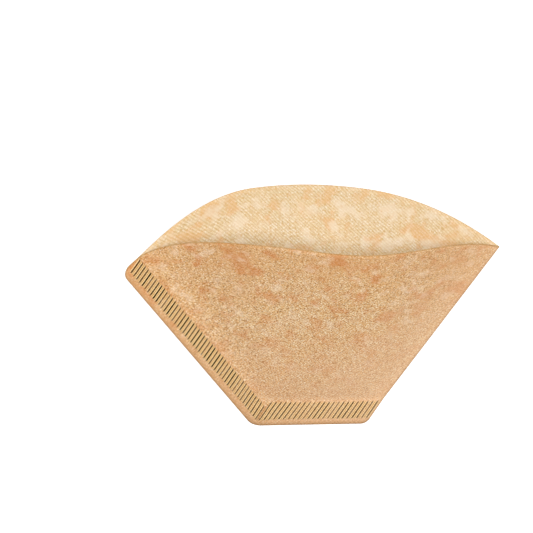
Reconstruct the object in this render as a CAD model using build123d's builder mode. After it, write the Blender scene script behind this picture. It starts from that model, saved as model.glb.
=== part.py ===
"""Cone filter: one sheet of paper, folded along one side and crimped shut along the other side and the bottom.

It lies on its back with the mouth open. +X runs from the crimped side to the fold, +Y to the mouth and +Z up.
"""
import os
from math import cos, radians, sin, tan

from build123d import *

os.makedirs("parts", exist_ok=True)

# The sheet as it lies flat, in millimetres and degrees
base_width = 52  # bottom edge, from corner to corner
mouth_width = 176  # mouth, from corner to corner
side_angle = 32  # each side, from the centre line
paper = 0.25  # one layer
side_band_width = 11  # crimped band along the side
base_band_width = 13.4  # crimped band along the bottom
base_band_radius = 7.5  # corner between the two bands
base_fold_radius = 4.3  # corner at the foot of the fold
mouth_band_radius = 4.5  # corner at the mouth end of the side band

# Crimped ribs, pressed into the upper and the lower face by turns
side_rib_pitch = 2.4
base_rib_pitch = 2.3
rib_width = 0.9
rib_depth = 0.22
outer_margin = 3.2  # plain paper between the outer edge and the ribs
inner_margin = 1.2  # plain paper between the ribs and the inner edge of the band
side_rib_gap = 2.9  # plain paper past the first and the last rib of the side band
base_rib_gap = 3.4  # plain paper before the first rib of the bottom band
fold_rib_gap = 1.6  # plain paper past the last rib of the bottom band
base_rib_slant = 31.5  # ribs of the bottom band, from square across it
foot_rib_slant = 28  # ribs at the foot of the side band
mouth_rib_slant = 13.5  # ribs at the mouth end of the side band
rib_level_shares = (0.15, 0.85)  # places along a rib where it has exactly its depth

# How the mouth stands open, in degrees
band_swing = 25.9  # outer edge of the side band, from the centre line, seen from above
band_lift = 19.2  # the same edge, from the table
band_tilt = 38  # the side band across its width, at the mouth
fold_swing = 32.2  # folded edge, from the centre line, seen from above
fold_lift = 8.9  # the same edge above the bottom band, from the table
bow_angle = 25.1  # upper layer from the lower one, where they stand furthest apart

# Curve of a layer in three spans: the curl beside the side band, the middle and the curl beside the fold.
# Each span has four evenly spaced control points, raised by shares of the band's lift, the fold's lift and the bow.
band_curl_share = 0.319  # of the mouth, from the side band to the fold
fold_curl_share = 0.407
curl_foot_share = 0.1  # the curls along the bottom band, of their width at the mouth
band_rise_shares = ((1, 0.53, 0, 0), (0, 0, 0, 0), (0, 0, 0, 0))
fold_rise_shares = ((0, 0, 0, 0), (0, 0, 0, 0), (0, 0, 0.447, 1))
bow_shares = ((0, 0.204, 0.746, 0.835), (0.835, 0.911, 1.019, 0.985), (0.985, 0.936, 0.3, 0))

overrun = 2.5  # how far sections and cuts reach past the paper
slit = 0.05  # gap between the layers where they start to part

# The two sides meet at an apex below the bottom edge, and the rim is an arc about it
apex_depth = base_width / 2 / tan(radians(side_angle))
rim_radius = mouth_width / 2 / sin(radians(side_angle))
flat_height = rim_radius - apex_depth
base_y = -flat_height / 2
section_height = flat_height + overrun
open_height = section_height - base_band_width
band_run = side_band_width / cos(radians(side_angle))
band_top = Vector(0, 0, 2 * paper)


def opening(height):
    """Share of the full opening at a distance up from the bottom edge. The bottom band stays flat."""
    return max(0, height - base_band_width) / open_height


def band_edge(height):
    """Outer edge of the side band, at a distance up from the bottom edge."""
    swing = height * tan(radians(band_swing))
    return Vector(-base_width / 2 - swing, base_y + height, height * tan(radians(band_lift)))


def band_line(height):
    """Inner edge of the side band, where the layers part."""
    foot = band_edge(0) + Vector(band_run, 0, 0)
    across = Vector(band_run * cos(radians(band_tilt)), 0, -band_run * sin(radians(band_tilt)))
    mouth = band_edge(section_height) + across
    plan = foot + (mouth - foot) * (height / section_height)
    return Vector(plan.X, plan.Y, mouth.Z * opening(height))


def fold_edge(height):
    """Folded side of the filter."""
    swing = height * tan(radians(fold_swing))
    lift = open_height * tan(radians(fold_lift)) * opening(height)
    return Vector(base_width / 2 + swing, base_y + height, lift)


def layer(height, opened=0, raised=0, cut_back=0):
    """Control points of the three spans of a layer, from the side band to the fold."""
    line = band_line(height)
    fold = fold_edge(height) - Vector(cut_back, 0, 0)
    mouth_run = fold_edge(section_height).X - band_line(section_height).X
    spread = mouth_run * max(opening(height), curl_foot_share)
    ends = (line.X, line.X + band_curl_share * spread, fold.X - fold_curl_share * spread, fold.X)
    spans = []
    for start, end, *rises in zip(ends, ends[1:], band_rise_shares, fold_rise_shares, bow_shares):
        points = []
        for place, (band_rise, fold_rise, bow_rise) in enumerate(zip(*rises)):
            x = start + (end - start) * place / (len(rises[0]) - 1)
            z = line.Z * band_rise + fold.Z * fold_rise + opened * bow_rise + raised
            points.append(Vector(x, line.Y, z))
        spans.append(points)
    return spans


def bow(height):
    """How far the middle of the upper layer stands above the lower one."""
    return open_height * tan(radians(bow_angle)) * opening(height)


def sheet_section(height):
    """Outline of the whole sheet: side band, lower layer, fold and upper layer."""
    edge = band_edge(height)
    line = band_line(height)
    fold = fold_edge(height)
    crease = fold + band_top / 2 + Vector(paper, 0, 0)
    band = [[line + band_top, edge + band_top], [edge + band_top, edge], [edge, line]]
    bend = [[fold, crease], [crease, fold + band_top]]
    upper = [points[::-1] for points in layer(height, bow(height), band_top.Z)]
    return [*band, *layer(height), *bend, *upper[::-1]]


def hollow_section(height):
    """Outline of the space between the layers."""
    lower = layer(height, 0, paper, paper)
    upper = [points[::-1] for points in layer(height, max(bow(height), slit), paper, paper)]
    return [*lower, *upper[::-1]]


def span(points):
    """One edge of a section: a line between two points, or a curve with four as its control points."""
    with BuildLine() as piece:
        if len(points) == 2:
            Line(*points)
        else:
            Bezier(*points)
    return piece.edge()


def panel(low, high):
    """Face between two edges of sections. Its straight lines fan out from the shorter edge to the longer one."""
    fan = (high[-1] - high[0]).length / (low[-1] - low[0]).length
    return Face.make_bezier_surface([low, high], [[fan] * len(low), [1] * len(high)])


def hull(*sections):
    """Solid through sections, closed at the first and the last one."""
    faces = [Face(Wire([span(points) for points in section])) for section in (sections[0], sections[-1])]
    for low, high in zip(sections, sections[1:]):
        faces += [panel(*points) for points in zip(low, high)]
    return Solid(Shell(faces))


def corner_waste(corner, first, second, radius):
    """What a rounded corner leaves off, seen from above, between two edges that run from the corner."""
    corner = Vector(corner.X, corner.Y, 0)
    first = Vector(first.X, first.Y, 0).normalized()
    second = Vector(second.X, second.Y, 0).normalized()
    inward = (first + second).normalized()
    half_turn = radians(first.get_angle(second)) / 2
    setback = radius / tan(half_turn)
    centre = corner + inward * (radius / sin(half_turn))
    with BuildSketch() as waste:
        with BuildLine():
            Polyline(
                corner + first * setback,
                centre,
                corner + second * setback,
                corner - inward * overrun,
                close=True,
            )
        make_face()
        with Locations(centre):
            Circle(radius, mode=Mode.SUBTRACT)
    return waste.sketch


def side_point(along, inward):
    """Point of the side band's lower face, by its place along the outer edge and in from it."""
    course = (band_edge(section_height) - band_edge(0)).normalized()
    height = along * course.Y
    across = band_line(height) - band_edge(height)
    slip = across.dot(course)
    share = inward / (across - course * slip).length
    height -= share * slip * course.Y
    return band_edge(height) + (band_line(height) - band_edge(height)) * share


def base_point(along, inward):
    """Point of the bottom band's lower face, by its place along the bottom edge and in from it."""
    edge = band_edge(inward)
    line = band_line(inward)
    x = band_edge(0).X + along
    if x > line.X:
        return Vector(x, line.Y, 0)
    return edge + (line - edge) * ((x - edge.X) / (line.X - edge.X))


def rib(point, band_width, along, slant):
    """Start of a rib on the lower face, its course and length, and the direction straight up out of the band."""
    reach = band_width - outer_margin - inner_margin
    low, high = rib_level_shares
    near, far = [
        point(along + share * reach * tan(radians(slant)), outer_margin + share * reach)
        for share in rib_level_shares
    ]
    course = (far - near) / (high - low)
    out = course.cross(point(along, outer_margin) - point(along + rib_width, outer_margin)).normalized()
    return near - course * low, course, out if out.Z > 0 else -out


with BuildPart() as filter_sheet:
    # Outside of the sheet, flat as far as the bottom band reaches, then opening to the mouth
    add(hull(sheet_section(0), sheet_section(base_band_width), sheet_section(section_height)))
    # Space between the layers
    add(hull(hollow_section(base_band_width), hollow_section(section_height)), mode=Mode.SUBTRACT)
    # Domed rim of both layers
    with Locations((0, base_y - apex_depth, 0)):
        Sphere(rim_radius, mode=Mode.INTERSECT)

    # Rounded corners of the two bands
    rim_ends = filter_sheet.faces().filter_by(GeomType.SPHERE)[0].vertices().sort_by(Axis.X)
    tip = rim_ends[0].center()
    rim_run = rim_ends[2].center() - tip
    base_run = fold_edge(0) - band_edge(0)
    side_run = tip - band_edge(0)
    fold_run = fold_edge(section_height) - fold_edge(0)
    corners = (
        (band_edge(0), base_run, side_run, base_band_radius),
        (fold_edge(0), -base_run, fold_run, base_fold_radius),
        (tip, -side_run, rim_run, mouth_band_radius),
    )
    for corner in corners:
        extrude(corner_waste(*corner), amount=section_height, both=True, mode=Mode.SUBTRACT)

    # Ribs, those of the lower face half a pitch on from those of the upper face
    side_length = side_run.length - 2 * side_rib_gap
    base_length = fold_edge(outer_margin).X - band_edge(0).X - base_rib_gap - fold_rib_gap
    side_steps = int(side_length / side_rib_pitch)
    base_steps = int(base_length / base_rib_pitch)
    ribs = []
    for half_step in range(2 * side_steps + 1):
        along = half_step * side_rib_pitch / 2
        slant = foot_rib_slant + (mouth_rib_slant - foot_rib_slant) * along / side_length
        ribs.append((half_step, *rib(side_point, side_band_width, side_rib_gap + along, slant)))
    for half_step in range(2 * base_steps + 1):
        along = half_step * base_rib_pitch / 2
        ribs.append((half_step, *rib(base_point, base_band_width, base_rib_gap + along, base_rib_slant)))
    grooves = []
    for half_step, start, course, out in ribs:
        if half_step % 2 == 0:
            groove_plane = Plane(start + band_top, x_dir=out.cross(course), z_dir=course)
        else:
            groove_plane = Plane(start, x_dir=course.cross(out), z_dir=course)
        with BuildSketch(groove_plane) as groove:
            with BuildLine():
                Polyline((0, -rib_depth), (rib_width, rib_depth), (-rib_width, rib_depth), close=True)
            make_face()
        grooves.append(extrude(groove.sketch, amount=course.length, mode=Mode.PRIVATE))
    add(grooves, mode=Mode.SUBTRACT)

filter_sheet.part.label = "filter_sheet"
export_step(filter_sheet.part, "parts/filter_sheet.step")
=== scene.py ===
# %% [markdown]
# # A paper cone filter
# A cone filter is one sheet of unbleached creped paper. It is folded once, and two of its edges
# are crimped shut, so that the mouth can be opened into a cone. This lesson builds it in Blender:
# first the cut of the flat sheet and the way it opens, then the mesh, the paper, the crimped
# ribs, and at last the light and the camera.
#
# The imported model comes first. It fixes the frame and the size that the finished piece has to
# keep.

# %% The imported model
from math import cos, radians, sin, tan

import bpy
import numpy as np
from mathutils import Matrix, Vector
from mathutils.geometry import delaunay_2d_cdt


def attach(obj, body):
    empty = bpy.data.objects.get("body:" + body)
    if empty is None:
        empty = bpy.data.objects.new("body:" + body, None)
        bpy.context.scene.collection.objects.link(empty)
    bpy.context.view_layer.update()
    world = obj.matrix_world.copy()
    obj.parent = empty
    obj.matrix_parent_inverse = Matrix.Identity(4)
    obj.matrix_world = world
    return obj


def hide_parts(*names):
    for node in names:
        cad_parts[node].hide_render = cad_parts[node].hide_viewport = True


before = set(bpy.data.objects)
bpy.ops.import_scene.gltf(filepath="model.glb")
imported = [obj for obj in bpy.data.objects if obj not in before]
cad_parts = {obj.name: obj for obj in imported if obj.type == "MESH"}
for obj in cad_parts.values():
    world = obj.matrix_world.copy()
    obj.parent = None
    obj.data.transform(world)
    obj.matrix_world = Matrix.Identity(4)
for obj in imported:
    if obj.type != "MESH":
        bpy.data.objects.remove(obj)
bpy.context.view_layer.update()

mm_per_m = 1000

# %% [markdown]
# ## The sheet as it was cut
# Lying flat, the filter is a fan: a short straight bottom, two straight sides that would meet at
# an apex below it, and a mouth that is an arc about that apex. All sizes are real ones, in
# millimetres and degrees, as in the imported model. Keeping them together makes it easy to try
# another size.

# %% Sizes of the flat sheet
base_width = 52.0
mouth_width = 176.0
side_angle = radians(32)
paper = 0.25  # thickness of one layer
layer_gap = 0.02  # keeps the two layers of a band apart
side_band_width = 11.0
base_band_width = 13.4
base_band_radius = 7.5  # corner between the two bands
base_fold_radius = 4.3  # corner at the foot of the fold
mouth_band_radius = 4.5  # corner at the mouth end of the side band

apex_depth = base_width / 2 / tan(side_angle)
rim_radius = mouth_width / 2 / sin(side_angle)
flat_height = rim_radius - apex_depth
band_run = side_band_width / cos(side_angle)
base_y = -flat_height / 2
print(f"flat filter: {base_width:.0f} to {mouth_width:.0f} mm wide and {flat_height:.1f} mm high")

# %% [markdown]
# ## How the paper opens
# When the mouth is opened, the crimped bottom stays flat on the table. The side band swings in
# and lifts, the fold lifts a little, and each layer curls between them. Every curl is part of a
# cone that starts at the bottom band, which is the way paper bends without stretching.
#
# This could be simulated as cloth, but a filter is stiff and its shape is plain to see, so a rule
# does it better: the curve of each layer at the mouth is three smooth spans, and straight lines
# run from that curve down to the bottom band.

# %% Angles and curves of the opened mouth
band_swing, band_lift, band_tilt = radians(25.9), radians(19.2), radians(38)
fold_swing, fold_lift, bow_angle = radians(32.2), radians(8.9), radians(25.1)
overrun = 2.5  # the mouth's curve is drawn a little past the rim
section_height = flat_height + overrun
open_height = section_height - base_band_width
# Shares of the mouth's width that the two curls take up, and what is left of it at the bottom band
band_curl, fold_curl, curl_foot = 0.319, 0.407, 0.1
# Shares of the band's lift, the fold's lift and the bow at the control points of the three spans
band_rise = ((1, 0.53, 0, 0), (0, 0, 0, 0), (0, 0, 0, 0))
fold_rise = ((0, 0, 0, 0), (0, 0, 0, 0), (0, 0, 0.447, 1))
bow_rise = ((0, 0.204, 0.746, 0.835), (0.835, 0.911, 1.019, 0.985), (0.985, 0.936, 0.3, 0))

mouth_line_x = -base_width / 2 - section_height * tan(band_swing) + band_run * cos(band_tilt)
mouth_line_z = section_height * tan(band_lift) - band_run * sin(band_tilt)
mouth_fold_x = base_width / 2 + section_height * tan(fold_swing)
mouth_fold_z = open_height * tan(fold_lift)
bow = open_height * tan(bow_angle)
print(f"the front layer stands {bow:.1f} mm off the back layer at the mouth")

# %% [markdown]
# A point of the flat sheet finds its place on those straight lines from its share of the way
# across, and it keeps its distance from the apex. That distance fixes how high up the sheet it
# sits, so the function below settles the height in a few rounds.

# %% Where a point of the flat sheet goes
settling_rounds = 12


def curve(shares, span, u):
    """Height share at u along a span, from the four control shares of each span."""
    a, b, c, d = np.array(shares, float)[span].T
    return a * (1 - u) ** 3 + 3 * b * u * (1 - u) ** 2 + 3 * c * u * u * (1 - u) + d * u**3


def opened(flat, front):
    """Places in mm of points of the flat sheet, on the front layer or on the back layer."""
    x, y = flat.T
    edge_x = -base_width / 2 - y * tan(side_angle)
    fold_x = base_width / 2 + y * tan(side_angle)
    in_band = np.clip((x - edge_x) / band_run, 0, 1)
    across = np.clip((x - edge_x - band_run) / (fold_x - edge_x - band_run), 0, 1)
    reach = np.hypot(x, y + apex_depth)
    foot_x = -base_width / 2 + band_run
    height = y.copy()
    for _ in range(settling_rounds):
        opening = np.maximum(0, height - base_band_width) / open_height
        edge = np.array([-base_width / 2 - height * tan(band_swing), height * tan(band_lift)])
        line_x = foot_x + (mouth_line_x - foot_x) * height / section_height
        line = np.array([line_x, mouth_line_z * opening])
        fold = base_width / 2 + height * tan(fold_swing)
        spread = (mouth_fold_x - mouth_line_x) * (curl_foot + (1 - curl_foot) * opening)
        ends = np.array([line_x, line_x + band_curl * spread, fold - fold_curl * spread, fold])
        plan = line_x + across * (fold - line_x)
        span = (plan > ends[1]).astype(int) + (plan > ends[2])
        start = np.take_along_axis(ends, span[None], 0)[0]
        end = np.take_along_axis(ends, span[None] + 1, 0)[0]
        u = (plan - start) / (end - start)
        lift = mouth_line_z * curve(band_rise, span, u) + mouth_fold_z * curve(fold_rise, span, u)
        if front:
            lift = lift + bow * curve(bow_rise, span, u)
        banded = in_band < 1
        out_x = np.where(banded, edge[0] + in_band * (line[0] - edge[0]), plan)
        out_z = np.where(banded, edge[1] + in_band * (line[1] - edge[1]), opening * lift)
        height = np.sqrt(np.maximum(reach**2 - out_x**2 - out_z**2, 0)) - apex_depth
    out_z = out_z + (1.5 * paper + layer_gap if front else 0.5 * paper)
    return np.stack([out_x, base_y + height, out_z], 1)


corners = np.array([(-base_width / 2, 0), (base_width / 2, 0), (0, flat_height)])
print("bottom corners and middle of the front rim, mm:", opened(corners, True).round(1).tolist())

# %% [markdown]
# ## The cut outline
# The sheet is punched with a die, so its corners are round: wide where the two crimped bands
# meet, and small at the mouth. A bevel could round them later, but points set along the arcs keep
# every mesh point on the flat sheet, where its place is known.

# %% Rounded corners and straight runs
def round_corner(before, corner, after, radius, steps):
    """Points of the arc that rounds a corner of the outline."""
    to_before = (before - corner) / np.linalg.norm(before - corner)
    to_after = (after - corner) / np.linalg.norm(after - corner)
    half = np.arccos(to_before @ to_after) / 2
    bisector = (to_before + to_after) / np.linalg.norm(to_before + to_after)
    centre = corner + bisector * radius / sin(half)
    start = corner + to_before * radius / tan(half) - centre
    end = corner + to_after * radius / tan(half) - centre
    mix = np.linspace(0, 1, steps)[:, None]
    arc = start * (1 - mix) + end * mix
    return centre + radius * arc / np.linalg.norm(arc, axis=1)[:, None]


def along(start, end, spacing):
    """Evenly spaced points between two points, without either of them."""
    count = max(2, round(np.linalg.norm(end - start) / spacing))
    return start + (end - start) * (np.arange(1, count) / count)[:, None]


base_band = np.array([-base_width / 2, 0])
base_fold = np.array([base_width / 2, 0])
mouth_band = np.array([-mouth_width / 2, flat_height - rim_radius * (1 - cos(side_angle))])
mouth_fold = mouth_band * (-1, 1)
rim_points = 110
turns = np.linspace(side_angle, -side_angle, rim_points)
rim = np.stack([rim_radius * np.sin(turns), rim_radius * np.cos(turns) - apex_depth], 1)

# %% The outline
seam_spacing, fold_spacing, rim_clearance = 1.2, 1.8, 0.5
near_rim_end = rim[-4]  # gives the rim's direction at the corner
band_foot_arc = round_corner(mouth_band, base_band, base_fold, base_band_radius, steps=12)
fold_foot_arc = round_corner(base_band, base_fold, mouth_fold, base_fold_radius, steps=8)
band_mouth_arc = round_corner(near_rim_end, mouth_band, base_band, mouth_band_radius, steps=8)
arc_setback = np.linalg.norm(band_mouth_arc[0] - mouth_band)
rim = rim[np.linalg.norm(rim - mouth_band, axis=1) > arc_setback + rim_clearance]
cut_edge = np.concatenate([
    rim,
    band_mouth_arc,
    along(band_mouth_arc[-1], band_foot_arc[0], seam_spacing),
    band_foot_arc,
    along(band_foot_arc[-1], fold_foot_arc[0], seam_spacing),
    fold_foot_arc,
])
outline = np.concatenate([cut_edge, along(fold_foot_arc[-1], mouth_fold, fold_spacing)])
print("outline:", len(outline), "points")

# %% [markdown]
# ## Rows of points for the ribs
# A crimping wheel presses the ribs into both layers at once. They slant across the band and turn
# the corner without a break. Each one is no wider than a pencil line, so the mesh needs rows of
# points along it: one at the bottom of the groove, two on each flank, and the rest on the paper
# between two grooves.
#
# Each row gets two numbers that the ribs are made from later: its place, counted in ribs, and how
# much the wheel holds it, which fades out at both ends of a rib.

# %% Rib rows
half_rib = 0.5
outer_margin, inner_margin = 3.2, 1.2
side_rib_pitch, base_rib_pitch = 2.36, 2.25
side_rib_gap, base_rib_gap = 2.9, 2.8
side_ribs, base_ribs = 48, 23
foot_rib_slant, mouth_rib_slant, base_rib_slant = radians(28), radians(13.5), radians(31.5)
row_shares = np.array([-0.34, -0.22, -0.11, 0, 0.11, 0.22, 0.34, 0.5])  # of a pitch, from a groove
rib_stations = np.array([-0.05, 0, 0.05, 0.28, 0.5, 0.72, 0.95, 1, 1.05])  # of a rib's length
rib_holds = np.array([0, 0.5, 1, 1, 1, 1, 1, 0.5, 0])  # at those stations


def rib_rows(course, inward, band, gap, pitch, count, slants):
    """Flat points of the rows of one band, each with its place in ribs and its hold."""
    places = (np.arange(count)[:, None] + row_shares).ravel()
    lean = np.tan(np.interp(places, (0, count - 1), slants))
    depth = rib_stations * (band - outer_margin - inner_margin)
    walk = gap + places[:, None] * pitch + depth * lean[:, None]
    points = base_band + walk[..., None] * course + (outer_margin + depth)[:, None] * inward
    holds = np.tile(rib_holds, (len(places), 1))
    holds[-1] = 0  # past the last rib the paper is plain
    places[0] = -half_rib  # before the first one it is as between two grooves
    return points.reshape(-1, 2), np.repeat(places, len(depth)), holds.ravel()


side_course = np.array([-sin(side_angle), cos(side_angle)])
side_inward = np.array([cos(side_angle), sin(side_angle)])
base_course, base_inward = np.array([1, 0]), np.array([0, 1])
side_rows = rib_rows(
    side_course, side_inward, side_band_width, side_rib_gap, side_rib_pitch, side_ribs,
    (foot_rib_slant, mouth_rib_slant))
base_rows = rib_rows(
    base_course, base_inward, base_band_width, base_rib_gap, base_rib_pitch, base_ribs,
    (base_rib_slant, base_rib_slant))
print("ribs:", side_ribs, "along the side and", base_ribs, "along the bottom")

# %% [markdown]
# ## One flat layer
# A plain grid would be fine everywhere or coarse everywhere. Here the outline, the rib rows and
# the two lines where the layers part are laid out one by one, and a loose triangular lattice covers
# the rest. A Delaunay triangulation joins them. The rows and lines go in as fixed edges, so that
# every rib and both creases run along mesh edges instead of across them.

# %% Lattice and creases
lattice = 2.3
row_height = 0.866 * lattice  # rows of a lattice of even triangles
fold_inward = side_inward * (-1, 1)
grid_x, grid_y = np.meshgrid(
    np.arange(-mouth_width / 2, mouth_width / 2, lattice), np.arange(0, flat_height, row_height))
grid_x = grid_x + (np.arange(len(grid_x)) % 2)[:, None] * lattice / 2
grid = np.stack([grid_x.ravel(), grid_y.ravel()], 1)
clear = 1.1  # room between the lattice and the lines laid out one by one
keep = (grid - base_band) @ side_inward > side_band_width + clear
keep &= grid[:, 1] > base_band_width + clear
keep &= (grid - base_fold) @ fold_inward > clear
keep &= np.hypot(grid[:, 0], grid[:, 1] + apex_depth) < rim_radius - clear

crease_spacing = 1.3
corner_shift = base_band_width * tan(side_angle)
band_corner = np.array([base_band[0] + band_run - corner_shift, base_band_width])
fold_corner = np.array([base_fold[0] + corner_shift, base_band_width])
side_crease = along(band_corner, mouth_band + side_inward * side_band_width, crease_spacing)
base_crease = along(band_corner, fold_corner, crease_spacing)
print("lattice:", keep.sum(), "points, creases:", len(side_crease), "and", len(base_crease))

# %% Triangulation
inner = np.concatenate([
    side_rows[0], base_rows[0], side_crease, base_crease, band_corner[None], grid[keep]])
points = np.concatenate([outline, inner])
plain = np.zeros(len(inner) - len(side_rows[0]) - len(base_rows[0]))
place = np.concatenate([np.zeros(len(outline)), side_rows[1], base_rows[1], plain])
hold = np.concatenate([np.zeros(len(outline)), side_rows[2], base_rows[2], plain])

runs = [np.arange(len(rib_stations)) + len(outline) + row * len(rib_stations)
        for row in range((side_ribs + base_ribs) * len(row_shares))]
crease_start = len(outline) + len(side_rows[0]) + len(base_rows[0])
runs.append(crease_start + np.arange(len(side_crease)))
runs.append(crease_start + len(side_crease) + np.arange(len(base_crease)))
fixed_edges = [(int(i), int(j)) for run in runs for i, j in zip(run, run[1:])]

inside_only, merge_distance = 1, 1e-4
flat_points, _, flat_faces, origins, _, _ = delaunay_2d_cdt(
    [Vector(p) for p in points], fixed_edges, [list(range(len(outline)))], inside_only, merge_distance)
source = np.array([ids[0] if ids else 0 for ids in origins])
flat = np.array(flat_points)
place, hold = place[source], hold[source]
triangles = np.array([list(face) for face in flat_faces])
print("one layer:", len(flat), "points and", len(triangles), "triangles")

# %% [markdown]
# ## Folding the sheet
# The front layer and the back layer are the same triangles, opened in two ways. At the fold the
# paper turns round in less than half a millimetre, so a narrow strip with three steps joins the
# two rows of points there. It is one sheet again, with the mouth, the seam at the side and the
# seam at the bottom as its free edges, just as the real one was cut.

# %% Both layers and the fold
touching = 1e-3
front, back = opened(flat, True), opened(flat, False)
on_fold = np.where(np.abs((flat - base_fold) @ fold_inward) < touching)[0]
on_fold = on_fold[np.argsort(flat[on_fold, 1])]
outwards = np.array([cos(fold_swing), -sin(fold_swing), 0])
middle = (front[on_fold] + back[on_fold]) / 2
half = (front[on_fold] - back[on_fold]) / 2
bend_radius = np.linalg.norm(half, axis=1)[:, None]
bend_turns = np.pi * np.array([0.25, 0.5, 0.75])
bends = [middle + half * np.cos(turn) + outwards * bend_radius * np.sin(turn) for turn in bend_turns]

count = len(flat)
sides = front[triangles[:, 1:]] - front[triangles[:, :1]]
upwards = triangles if np.cross(sides[:, 0], sides[:, 1])[:, 2].mean() > 0 else triangles[:, ::-1]
faces = upwards.tolist() + (upwards[:, ::-1] + count).tolist()
bend_rows = 2 * count + np.arange(len(bends) * len(on_fold)).reshape(len(bends), -1)
strips = [on_fold, *bend_rows, on_fold + count]
for near, far in zip(strips, strips[1:]):
    faces += np.stack([near[:-1], far[:-1], far[1:], near[1:]], 1).tolist()

sheet_mesh = bpy.data.meshes.new("filter_sheet_opened")
sheet_mesh.from_pydata((np.concatenate([front, back, *bends]) / mm_per_m).tolist(), [], faces)
sheet = bpy.data.objects.new("filter_sheet_paper", sheet_mesh)
bpy.context.scene.collection.objects.link(sheet)
print("sheet:", len(sheet_mesh.vertices), "points and", len(sheet_mesh.polygons), "faces")

# %% [markdown]
# ## What each point remembers
# The ribs and the paper's colours follow the flat sheet, not the opened shape, so every point
# keeps its place on the flat sheet and its distance from the cut edge, the crimp, the fold, the
# bottom and the mouth. Blender calls such numbers attributes, and both kinds of node tree can read
# them. A UV map would hold the place alone. The wheel's teeth mesh, so the ribs of the underside
# lie half a rib on from those on top.

# %% Attributes
def remember(name, on_front, on_back):
    """Stores one number for each flat point, on the front layer, the back layer and the bend."""
    whole = np.concatenate([on_front, on_back, *[on_front[on_fold]] * len(bends)])
    attribute = sheet_mesh.attributes.new(name, "FLOAT", "POINT")
    attribute.data.foreach_set("value", whole.astype(np.float32))


def distance_to(path):
    """Distance in mm from each flat point to a path."""
    nearest = np.full(len(flat), np.inf)
    for start, end in zip(path, path[1:]):
        run = end - start
        share = np.clip((flat - start) @ run / (run @ run), 0, 1)
        nearest = np.minimum(nearest, np.linalg.norm(flat - start - share[:, None] * run, axis=1))
    return nearest


still_margin = 15  # reach in mm to which the crimp and the fold hold the paper still
from_side = (flat - base_band) @ side_inward
from_fold = (flat - base_fold) @ fold_inward
from_band = np.minimum(from_side - side_band_width, flat[:, 1] - base_band_width)
free_paper = np.clip(from_band / still_margin, 0, 1) * np.clip(from_fold / still_margin, 0, 1)
remember("rib_place", place, place + half_rib)
remember("underside", np.zeros(count), np.ones(count))
for name, values in (
    ("rib_hold", hold),
    ("free_paper", free_paper),
    ("from_crimp", np.minimum(from_side, flat[:, 1])),
    ("from_cut", distance_to(cut_edge)),
    ("from_fold", from_fold),
    ("from_bottom", flat[:, 1]),
    ("from_mouth", rim_radius - np.hypot(flat[:, 0], flat[:, 1] + apex_depth)),
):
    remember(name, values, values)

back_shift = (0, 300)  # gives the back layer clouds of its own
flat_whole = np.concatenate([flat, flat + back_shift, *[flat[on_fold]] * len(bends)])
flat_vectors = np.pad(flat_whole / mm_per_m, ((0, 0), (0, 1))).astype(np.float32)
flat_place = sheet_mesh.attributes.new("flat_place", "FLOAT_VECTOR", "POINT")
flat_place.data.foreach_set("vector", flat_vectors.ravel())
own_names = [a.name for a in sheet_mesh.attributes if not a.is_internal and a.name != "position"]
print("attributes:", own_names)

# %% [markdown]
# ## Helpers for node trees
# Colours are written as sRGB hex values, so one function turns them into the linear numbers that
# shaders use. One more function adds a node with its settings and links, and both the paper and
# the ribs are built with it.

# %% Colour and node helpers
def hex_colour(code):
    """Linear RGBA from an sRGB hex colour."""
    srgb = np.array([int(code[i : i + 2], 16) for i in (1, 3, 5)]) / 255
    return (*np.where(srgb <= 0.04045, srgb / 12.92, ((srgb + 0.055) / 1.055) ** 2.4).tolist(), 1.0)


def add_node(tree, kind, inputs=(), **settings):
    """Adds a node. Each input is a socket to link from or a plain value, by name or number."""
    node = tree.nodes.new(kind)
    for name, value in settings.items():
        setattr(node, name, value)
    for key, value in dict(inputs).items():
        if isinstance(value, bpy.types.NodeSocket):
            tree.links.new(value, node.inputs[key])
        else:
            node.inputs[key].default_value = value
    return node


# A Mix node has its sockets for all kinds of data, so those for numbers and colours go by position
mix_numbers, mix_colours, mixed_number, mixed_colour = (2, 3), (6, 7), 0, 2
print("the paper's middle tone in linear numbers:", [round(c, 3) for c in hex_colour("#DBB183")])

# %% [markdown]
# ## Creped filter paper
# The paper is unbleached wood pulp, creped while it was wet. The pulp settles in soft clouds and
# leaves pale and reddish specks, the fibres lie slanting both ways, and the crepe gives fine
# slanting wrinkles. In the crimp the bottom of each groove is painted dark, a painted shade, and
# the lips beside it pale, a painted highlight.
#
# A scanned texture would give all that at once, but it would have to be cut to this shape. Noise
# on the flat sheet follows every bend by itself. One function builds the paper, layer upon layer:
# fibres and wrinkles, clouds and specks, tones that fade in from an edge, and the crimp. Sizes
# are in millimetres. Flecks of fibre and wrinkles are drawn about three times too coarse, because
# the real ones are too fine to show. The clouds show most towards the mouth.
#
# The crimp's painted shade and highlight come first. They read the same two numbers as the ribs:
# the place, which swings from 0 at the bottom of a groove to a half between two grooves, and the
# hold. The painted shade and highlight are stronger in some grooves than in others, and stronger
# along the side than along the bottom. The wrinkles and the fibres then tilt the surface a little.
# Paper is rough and hardly shines, so the roughness is high and the specular level low.

# %% Painted shade and highlight of the crimp, and wrinkles
# Painted shade at the bottom of each groove, painted highlight on its lips, then the tan land between
# two grooves
groove_shade_and_highlight = (
    (0.0, "#140E04"),
    (0.34, "#2C1E0A"),
    (0.48, "#E2B66C"),
    (0.64, "#FFE8B8"),
    (0.82, "#CF9A4C"),
    (1.0, "#9C6424"),
)


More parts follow.
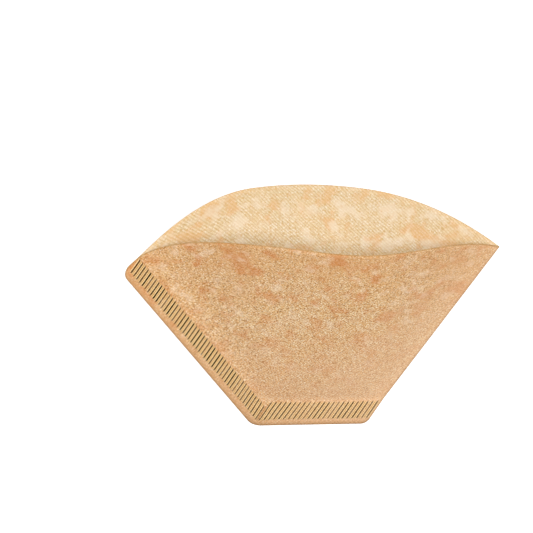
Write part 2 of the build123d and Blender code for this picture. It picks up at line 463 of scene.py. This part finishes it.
def paint_groove_light_and_finish(tree, colour, grain):
    """Finishes a paper material: the painted shade and highlight of the crimp, the grain's relief and
    the shader.
    """
    shader = tree.nodes["Principled BSDF"]
    place = add_node(tree, "ShaderNodeAttribute", attribute_name="rib_place").outputs["Fac"]
    held = add_node(tree, "ShaderNodeAttribute", attribute_name="rib_hold").outputs["Fac"]
    from_groove = add_node(tree, "ShaderNodeMath", {
        0: place, 1: half_rib}, operation="PINGPONG").outputs[0]
    tone_place = add_node(tree, "ShaderNodeMath", {
        0: from_groove, 1: half_rib}, operation="DIVIDE")
    tones = add_node(tree, "ShaderNodeValToRGB", {"Fac": tone_place.outputs[0]})
    for _ in groove_shade_and_highlight[2:]:
        tones.color_ramp.elements.new(0.5)
    for element, (position, code) in zip(tones.color_ramp.elements, groove_shade_and_highlight):
        element.position, element.color = position, hex_colour(code)
    uneven = add_node(tree, "ShaderNodeTexNoise", {
        "W": place, "Scale": 0.4, "Detail": 2.0}, noise_dimensions="1D")
    uneven_groove_contrast = add_node(tree, "ShaderNodeMapRange", {
        "Value": uneven.outputs["Fac"], "From Min": 0.35, "From Max": 0.6, "To Min": 0.7}).outputs[0]
    up_the_sheet = add_node(tree, "ShaderNodeAttribute", attribute_name="from_bottom").outputs["Fac"]
    side_groove_contrast = add_node(tree, "ShaderNodeMapRange", {
        "Value": up_the_sheet, "From Min": 12.0, "From Max": 40.0, "To Min": 0.8}).outputs[0]
    groove_contrast = add_node(tree, "ShaderNodeMath", {0: uneven_groove_contrast, 1: side_groove_contrast}, operation="MULTIPLY").outputs[0]
    painted_groove_amount = add_node(tree, "ShaderNodeMath", {
        0: held, 1: groove_contrast}, operation="MULTIPLY").outputs[0]
    below, above = mix_colours
    # Mixes the painted shade and highlight of the grooves over the paper, as far as the crimp holds it
    colour = add_node(tree, "ShaderNodeMix", {
        "Factor": painted_groove_amount, below: colour, above: tones.outputs["Color"]},
        data_type="RGBA").outputs[mixed_colour]
    height = grain[0]
    for line in grain[1:]:
        height = add_node(tree, "ShaderNodeMath", {0: height, 1: line}, operation="ADD").outputs[0]
    bump = add_node(tree, "ShaderNodeBump", {"Strength": 0.4, "Distance": 0.00012, "Height": height})
    tree.links.new(colour, shader.inputs["Base Color"])
    tree.links.new(bump.outputs[0], shader.inputs["Normal"])
    shader.inputs["Roughness"].default_value = 0.92
    shader.inputs["Specular IOR Level"].default_value = 0.2


print("tones across a groove:", len(groove_shade_and_highlight))

# %% [markdown]
# The function for the paper takes what sets one side apart from the other: its ground, its clouds
# and specks, its fibres, its wrinkles and the tones that fade in from an edge. Each layer is one
# number from 0 to 1 that mixes one more colour in.
#
# A cloud is given by its size, the two values of the noise between which it sets in, its strength
# and its colour. A fibre has its turn, width and length instead of one size, a wrinkle its turn and
# spacing, and a fade the distance it starts from and its reach.

# %% The paper, layer upon layer
one_wave = np.pi / 10  # scale at which a Wave texture has one crest in each unit of length
crest_start = 0.35  # height of a wave at which a wrinkle's tone sets in
stain_seed, fibre_seed = 3.7, 5.3  # steps between the noises, so that no two layers are alike


def paper_material(name, ground, stains, fibres, wrinkles, fades):
    """Creped filter paper in the tones of one of its sides."""
    material = bpy.data.materials.new(name)
    material.use_nodes = True
    tree = material.node_tree
    flat_metres = add_node(tree, "ShaderNodeAttribute", attribute_name="flat_place").outputs["Vector"]
    flat_mm = add_node(tree, "ShaderNodeVectorMath", {
        0: flat_metres, "Scale": mm_per_m}, operation="SCALE").outputs[0]
    layers = []
    grain = []
    for seed, (turn, width, length, low, high, strength, code) in enumerate(fibres):
        slanted = add_node(tree, "ShaderNodeMapping", {
            "Vector": flat_mm, "Rotation": (0, 0, radians(turn)), "Scale": (length, width, 1)},
            vector_type="TEXTURE")
        noise = add_node(tree, "ShaderNodeTexNoise", {
            "Vector": slanted.outputs[0], "W": fibre_seed * seed, "Scale": 1.0, "Detail": 1.0},
            noise_dimensions="4D")
        layers.append((noise.outputs["Fac"], low, high, strength, code))
        grain.append(noise.outputs["Fac"])
    for turn, spacing, strength, code in wrinkles:
        slanted = add_node(tree, "ShaderNodeMapping", {
            "Vector": flat_mm, "Rotation": (0, 0, radians(turn)), "Scale": (spacing, spacing, 1)},
            vector_type="TEXTURE")
        wave = add_node(tree, "ShaderNodeTexWave", {
            "Vector": slanted.outputs[0], "Scale": one_wave, "Distortion": 3.5, "Detail": 3.0,
            "Detail Scale": 0.6}, bands_direction="Y")
        layers.append((wave.outputs["Fac"], crest_start, 1, strength, code))
        grain.append(wave.outputs["Fac"])
    from_mouth = add_node(tree, "ShaderNodeAttribute", attribute_name="from_mouth").outputs["Fac"]
    near_mouth = add_node(tree, "ShaderNodeMapRange", {
        "Value": from_mouth, "From Min": 75.0, "From Max": 20.0, "To Min": 0.4}).outputs[0]
    for seed, (size, low, high, strength, code) in enumerate(stains):
        noise = add_node(tree, "ShaderNodeTexNoise", {
            "Vector": flat_mm, "W": stain_seed * seed, "Scale": 1 / size, "Detail": 3.0},
            noise_dimensions="4D")
        shown = add_node(tree, "ShaderNodeMath", {0: near_mouth, 1: strength}, operation="MULTIPLY")
        layers.append((noise.outputs["Fac"], low, high, shown.outputs[0], code))
    for attribute, reach, strength, code in fades:
        distance = add_node(tree, "ShaderNodeAttribute", attribute_name=attribute).outputs["Fac"]
        layers.append((distance, reach, 0, strength, code))

    colour = hex_colour(ground)
    below, above = mix_colours
    for value, low, high, strength, code in layers:
        amount = add_node(tree, "ShaderNodeMapRange", {
            "Value": value, "From Min": low, "From Max": high, "To Max": strength})
        colour = add_node(tree, "ShaderNodeMix", {
            "Factor": amount.outputs[0], below: colour, above: hex_colour(code)},
            data_type="RGBA").outputs[mixed_colour]
    paint_groove_light_and_finish(tree, colour, grain)
    return material


print("order of the layers: fibres, wrinkles, clouds and specks, fades, crimp")

# %% [markdown]
# ## The three papers
# The outer side was against the drying cylinder. It is the darker one, a warm tan with reddish
# clouds towards the mouth and a pinkish cast towards the bottom. The inner side is a pale cream
# with whitish and orange clouds, painted a little darker towards the mouth as painted light that
# evens out the shade deeper inside the cone. The cut edge is painted a thin brownish line, darker
# than the inside, a painted shade along the edge.

# %% Outer side
# Unbleached pulp, calendered on this side: to the eye a warm tan with a busy, matt, slanting grain.
outer_paper = paper_material(
    "creped filter paper, outer side",
    "#E2B57E",
    stains=(
        (26, 0.44, 0.62, 0.2, "#D4965A"),
        (8, 0.5, 0.64, 0.48, "#C8702F"),
        (6, 0.55, 0.67, 0.4, "#F8E2C6"),
        (2.6, 0.56, 0.72, 0.2, "#CB864A"),
    ),
    fibres=(
        (40, 6.0, 24.0, 0.46, 0.64, 0.5, "#E3BA92"),
        (45, 0.57, 1.2, 0.52, 0.64, 0.9, "#9C642A"),
        (-45, 0.57, 1.2, 0.52, 0.64, 0.9, "#F9E0B2"),
        (-45, 0.57, 0.8, 0.55, 0.66, 0.95, "#80501F"),
        (45, 0.57, 0.8, 0.55, 0.65, 0.95, "#FFEFD0"),
    ),
    wrinkles=(
        (-43, 1.2, 0.35, "#BE8C54"),
        (47, 1.35, 0.3, "#C4935C"),
    ),
    fades=(
        ("from_bottom", 80, 0.35, "#E0AE8A"),
        # Painted light: the outer side is lighter towards the fold, where the layer turns to the light
        ("from_fold", 40, 0.35, "#F4CBA4"),
        ("from_mouth", 45, 0.2, "#CF9050"),
        ("from_crimp", 4, 0.85, "#DDA976"),
        # Painted shade: a thin darker strip along the fold, where the paper turns away from the light
        ("from_fold", 1.2, 0.6, "#B58A60"),
        # Painted shade: a thin dark line on the outer side along the cut edge
        ("from_cut", 0.9, 0.6, "#A87840"),
    ),
)
print("material:", outer_paper.name)

# %% Inner side
# The same pulp, left as it dried: to the eye a pale cream, cloudy and soft, with fine lines one way.
inner_paper = paper_material(
    "creped filter paper, inner side",
    # Partly the side's own colour and partly painted light: the ground is set a little paler to even
    # out the shade inside the cone
    "#EDDFBF",
    stains=(
        (22, 0.46, 0.6, 0.25, "#F0D2A2"),
        (9, 0.52, 0.62, 0.5, "#E8B478"),
        (8, 0.52, 0.62, 0.55, "#FAF1E2"),
        (3.5, 0.56, 0.7, 0.2, "#E9BE88"),
    ),
    fibres=(
        (-43, 0.6, 2.0, 0.5, 0.64, 0.8, "#D2AC70"),
        (47, 0.6, 1.2, 0.5, 0.64, 0.85, "#FFFAF0"),
    ),
    wrinkles=(
        (-43, 1.25, 0.6, "#CBAC77"),
    ),
    fades=(
        # Painted light: darker towards the mouth, to even out the shade that falls deeper inside the
        # cone
        ("from_mouth", 36, 0.3, "#DDBC88"),
        ("from_cut", 2.6, 0.3, "#E0AE70"),
    ),
)
print("material:", inner_paper.name)

# %% Cut edge
# Fibre ends at the cut: to the eye a thin brownish line that parts the two sides, painted dark as the
# shade along the edge.
edge_paper = paper_material(
    "creped filter paper, cut edge",
    "#BE9660",
    stains=((1.2, 0.45, 0.7, 0.5, "#D2AE78"),),
    fibres=((45, 0.6, 1.2, 0.5, 0.75, 0.4, "#A67E48"),),
    wrinkles=(),
    fades=(),
)
print("material:", edge_paper.name)

# %% [markdown]
# ## Crimped ribs
# The ribs could be modelled one by one, or drawn as a bump in the material. A bump has no edge
# when it is seen from the side, and there are dozens of ribs that all follow one rule, so
# Geometry Nodes lift the real mesh instead. The tree has named inputs for its sizes, so the same
# tree would crimp another filter.

# %% Inputs of the ribs' tree
ribs = bpy.data.node_groups.new("crimped_ribs", "GeometryNodeTree")
ribs.is_modifier = True
ribs.interface.new_socket("Geometry", in_out="OUTPUT", socket_type="NodeSocketGeometry")
input_ids = {}
for label, kind in (
    ("Geometry", "NodeSocketGeometry"),
    ("Rib Height", "NodeSocketFloat"),
    ("Rustle Height", "NodeSocketFloat"),
    ("Rustle Size", "NodeSocketFloat"),
    ("Rustle Seed", "NodeSocketFloat"),
    ("Paper", "NodeSocketMaterial"),
):
    input_ids[label] = ribs.interface.new_socket(label, in_out="INPUT", socket_type=kind).identifier
given = add_node(ribs, "NodeGroupInput").outputs
print("inputs:", list(input_ids))

# %% [markdown]
# Across a rib the paper rises from the bottom of the groove to a lip and falls off a little to
# the land between two grooves. A Float Curve holds that profile. On the underside the same groove
# is pressed from below, so there the profile is turned over. Nothing goes below the flat sheet,
# so the filter still rests on its lower face.

# %% Rib profile
rib_place = add_node(ribs, "GeometryNodeInputNamedAttribute", {"Name": "rib_place"}, data_type="FLOAT")
rib_hold = add_node(ribs, "GeometryNodeInputNamedAttribute", {"Name": "rib_hold"}, data_type="FLOAT")
from_groove = add_node(ribs, "ShaderNodeMath", {
    0: rib_place.outputs["Attribute"], 1: half_rib}, operation="PINGPONG")
profile = add_node(ribs, "ShaderNodeFloatCurve", {"Value": from_groove.outputs[0]})
land_level = 0.7
profile_points = profile.mapping.curves[0].points
profile_points[1].location = (1, land_level)
for share, height in ((0.11, 0.4), (0.22, 1), (0.34, 0.85), (half_rib, land_level)):
    profile_points.new(share, height)
profile.mapping.update()
underside = add_node(ribs, "GeometryNodeInputNamedAttribute", {"Name": "underside"}, data_type="FLOAT")
from_below = add_node(ribs, "ShaderNodeMath", {
    0: land_level, 1: profile.outputs[0]}, operation="SUBTRACT", use_clamp=True)
on_top, beneath = mix_numbers
level = add_node(ribs, "ShaderNodeMix", {
    "Factor": underside.outputs["Attribute"], on_top: profile.outputs[0],
    beneath: from_below.outputs[0]}, data_type="FLOAT").outputs[mixed_number]
held_level = add_node(ribs, "ShaderNodeMath", {
    0: level, 1: rib_hold.outputs["Attribute"]}, operation="MULTIPLY")
rib_lift = add_node(ribs, "ShaderNodeMath", {
    0: held_level.outputs[0], 1: given["Rib Height"]}, operation="MULTIPLY")
print("profile points:", len(profile_points))

# %% [markdown]
# The free paper gets a slight rustle, because no opened sheet is perfectly even. It is noise with
# a fixed seed, it only lifts, and it fades out towards the crimp and the fold, which hold the
# paper still.

# %% Rustle
place_read = add_node(ribs, "GeometryNodeInputNamedAttribute", {
    "Name": "flat_place"}, data_type="FLOAT_VECTOR")
free_read = add_node(ribs, "GeometryNodeInputNamedAttribute", {"Name": "free_paper"}, data_type="FLOAT")
rustle_scale = add_node(ribs, "ShaderNodeMath", {0: 1.0, 1: given["Rustle Size"]}, operation="DIVIDE")
rustle = add_node(ribs, "ShaderNodeTexNoise", {
    "Vector": place_read.outputs["Attribute"], "W": given["Rustle Seed"],
    "Scale": rustle_scale.outputs[0], "Detail": 1.0}, noise_dimensions="4D")
rustle_lift = add_node(ribs, "ShaderNodeMath", {
    0: rustle.outputs["Fac"], 1: given["Rustle Height"]}, operation="MULTIPLY")
lift = add_node(ribs, "ShaderNodeMath", {
    0: rustle_lift.outputs[0], 1: free_read.outputs["Attribute"], 2: rib_lift.outputs[0]},
    operation="MULTIPLY_ADD")
print("nodes for the ribs and the rustle:", len(ribs.nodes))

# %% [markdown]
# Both layers move up, whichever way their normals point, so the sign of the normal's height goes
# into the offset. The tree ends in Realize Instances and Set Material, which leave one plain mesh
# in the paper.

# %% Moving the paper
normal = add_node(ribs, "GeometryNodeInputNormal").outputs[0]
upright = add_node(ribs, "ShaderNodeSeparateXYZ", {0: normal}).outputs["Z"]
up_or_down = add_node(ribs, "ShaderNodeMath", {0: upright}, operation="SIGN").outputs[0]
lift_up = add_node(ribs, "ShaderNodeMath", {0: lift.outputs[0], 1: up_or_down}, operation="MULTIPLY")
offset = add_node(ribs, "ShaderNodeVectorMath", {
    0: normal, "Scale": lift_up.outputs[0]}, operation="SCALE")
moved = add_node(ribs, "GeometryNodeSetPosition", {
    "Geometry": given["Geometry"], "Offset": offset.outputs[0]})
realized = add_node(ribs, "GeometryNodeRealizeInstances", {"Geometry": moved.outputs[0]})
papered = add_node(ribs, "GeometryNodeSetMaterial", {
    "Geometry": realized.outputs[0], "Material": given["Paper"]})
add_node(ribs, "NodeGroupOutput", {"Geometry": papered.outputs[0]})
print("nodes in the whole tree:", len(ribs.nodes))

# %% [markdown]
# The modifier's inputs are set by their identifiers before the sheet is first evaluated. The
# result is then turned into a plain mesh and the modifier removed, because what comes next works
# on plain meshes.

# %% Crimping the sheet
def settle(piece, modifier):
    """Turns a modifier's result into the piece's own mesh."""
    depsgraph = bpy.context.evaluated_depsgraph_get()
    result = bpy.data.meshes.new_from_object(
        piece.evaluated_get(depsgraph), preserve_all_data_layers=True, depsgraph=depsgraph)
    piece.modifiers.remove(modifier)
    piece.data = result


crimp = sheet.modifiers.new("crimp", "NODES")
crimp.node_group = ribs
for label, value in (
    ("Rib Height", 0.00042),
    ("Rustle Height", 0.0009),
    ("Rustle Size", 0.05),
    ("Rustle Seed", 3.0),
    ("Paper", outer_paper),
):
    crimp[input_ids[label]] = value
settle(sheet, crimp)
print("crimped sheet:", len(sheet.data.vertices), "points")

# %% [markdown]
# ## Thickness
# So far the sheet has no thickness. Solidify gives it a quarter of a millimetre, half to each
# side. It puts the inner side's material on the faces that look into the cone and the cut edge's
# material on the rim.

# %% Paper thickness
sheet.data.materials.append(inner_paper)
sheet.data.materials.append(edge_paper)
wall = sheet.modifiers.new("paper", "SOLIDIFY")
wall.thickness = paper / mm_per_m
wall.offset = 0
wall.use_even_offset = False
wall.material_offset = 1
wall.material_offset_rim = 2
settle(sheet, wall)
sheet.data.name = "filter_sheet_paper"
sheet.data.polygons.foreach_set("use_smooth", np.ones(len(sheet.data.polygons), bool))
print("paper:", len(sheet.data.polygons), "faces, materials", [m.name for m in sheet.data.materials])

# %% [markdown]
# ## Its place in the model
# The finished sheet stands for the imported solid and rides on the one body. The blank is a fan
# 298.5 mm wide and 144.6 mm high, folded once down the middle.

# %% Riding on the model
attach(sheet, "root")
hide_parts("filter_sheet")
print("rides on root:", sheet.name)

# %% [markdown]
# ## Floor
# The filter lies on a plain white table. For the camera, and in reflections, the table also glows
# a little, so that it reads as white while it still takes the filter's shadow.

# %% White table
floor_half, floor_drop, table_glow = 3.0, 0.0002, 0.45
floor_mesh = bpy.data.meshes.new("floor")
floor_signs = ((-1, -1), (1, -1), (1, 1), (-1, 1))
floor_corners = [(floor_half * x, floor_half * y, -floor_drop) for x, y in floor_signs]
floor_mesh.from_pydata(floor_corners, [], [(0, 1, 2, 3)])
floor = bpy.data.objects.new("floor", floor_mesh)
bpy.context.scene.collection.objects.link(floor)

# White laminate: to the eye an even, matt white.
white_table = bpy.data.materials.new("white laminate")
white_table.use_nodes = True
table_tree = white_table.node_tree
table_shader = table_tree.nodes["Principled BSDF"]
table_shader.inputs["Base Color"].default_value = hex_colour("#F4F4F4")
table_shader.inputs["Roughness"].default_value = 0.9
table_shader.inputs["Emission Color"].default_value = (1, 1, 1, 1)
light_path = add_node(table_tree, "ShaderNodeLightPath").outputs
seen = add_node(table_tree, "ShaderNodeMath", {
    0: light_path["Is Camera Ray"], 1: light_path["Is Glossy Ray"]}, operation="ADD")
seen = add_node(table_tree, "ShaderNodeMath", {
    0: seen.outputs[0], 1: light_path["Is Transmission Ray"]}, operation="ADD")
glow = add_node(table_tree, "ShaderNodeMath", {
    0: seen.outputs[0], 1: table_glow}, operation="MULTIPLY")
table_tree.links.new(glow.outputs[0], table_shader.inputs["Emission Strength"])
floor_mesh.materials.append(white_table)
print("floor:", 2 * floor_half, "m square")

# %% [markdown]
# ## Light
# A white studio lights the filter softly from all round. A softbox beside the camera shines into
# the mouth, so the inside isn't lost in shade, and a weaker one from the bottom end lights the
# front layer. Together they give about the strength at which a colour renders as it is written.

# %% Studio light
world = bpy.data.worlds.new("soft studio")
bpy.context.scene.world = world
world.use_nodes = True
world.node_tree.nodes["Background"].inputs["Color"].default_value = (1, 1, 1, 1)
world.node_tree.nodes["Background"].inputs["Strength"].default_value = 0.38


def softbox(name, place, size, power):
    """A square softbox that looks at the filter."""
    light = bpy.data.lights.new(name, "AREA")
    light.size, light.energy = size, power
    box = bpy.data.objects.new(name, light)
    box.location = place
    box.rotation_euler = (-Vector(place)).to_track_quat("-Z", "Y").to_euler()
    bpy.context.scene.collection.objects.link(box)


softbox("key softbox", (0.12, 0.78, 1.25), size=0.5, power=16)
softbox("fill softbox", (0.1, -1.0, 1.2), size=0.9, power=6)
bpy.context.scene.view_settings.view_transform = "Standard"

# %% [markdown]
# ## Camera
# The picture was taken from above the mouth with a long lens, which keeps the two sides of the
# fan nearly in true proportion. The three directions below are the camera's own right, up and
# backwards.

# %% Camera
camera_data = bpy.data.cameras.new("camera")
camera_data.lens, camera_data.sensor_width, camera_data.sensor_fit = 214.38, 36, "HORIZONTAL"
camera_data.clip_end = 10
camera = bpy.data.objects.new("camera", camera_data)
right = Vector((0.99758612, -0.05151715, -0.04656097))
up = Vector((0.02175488, 0.86862954, -0.4949843))
backwards = Vector((0.06594441, 0.49277653, 0.86765352))
camera_turn = Matrix((right, up, backwards)).transposed().to_4x4()
camera_place = Vector((0.077944, 0.716681, 1.224715))
camera.matrix_world = Matrix.Translation(camera_place) @ camera_turn
bpy.context.scene.collection.objects.link(camera)
bpy.context.scene.camera = camera
print("camera:", round(camera_place.length, 3), "m from the middle of the filter")
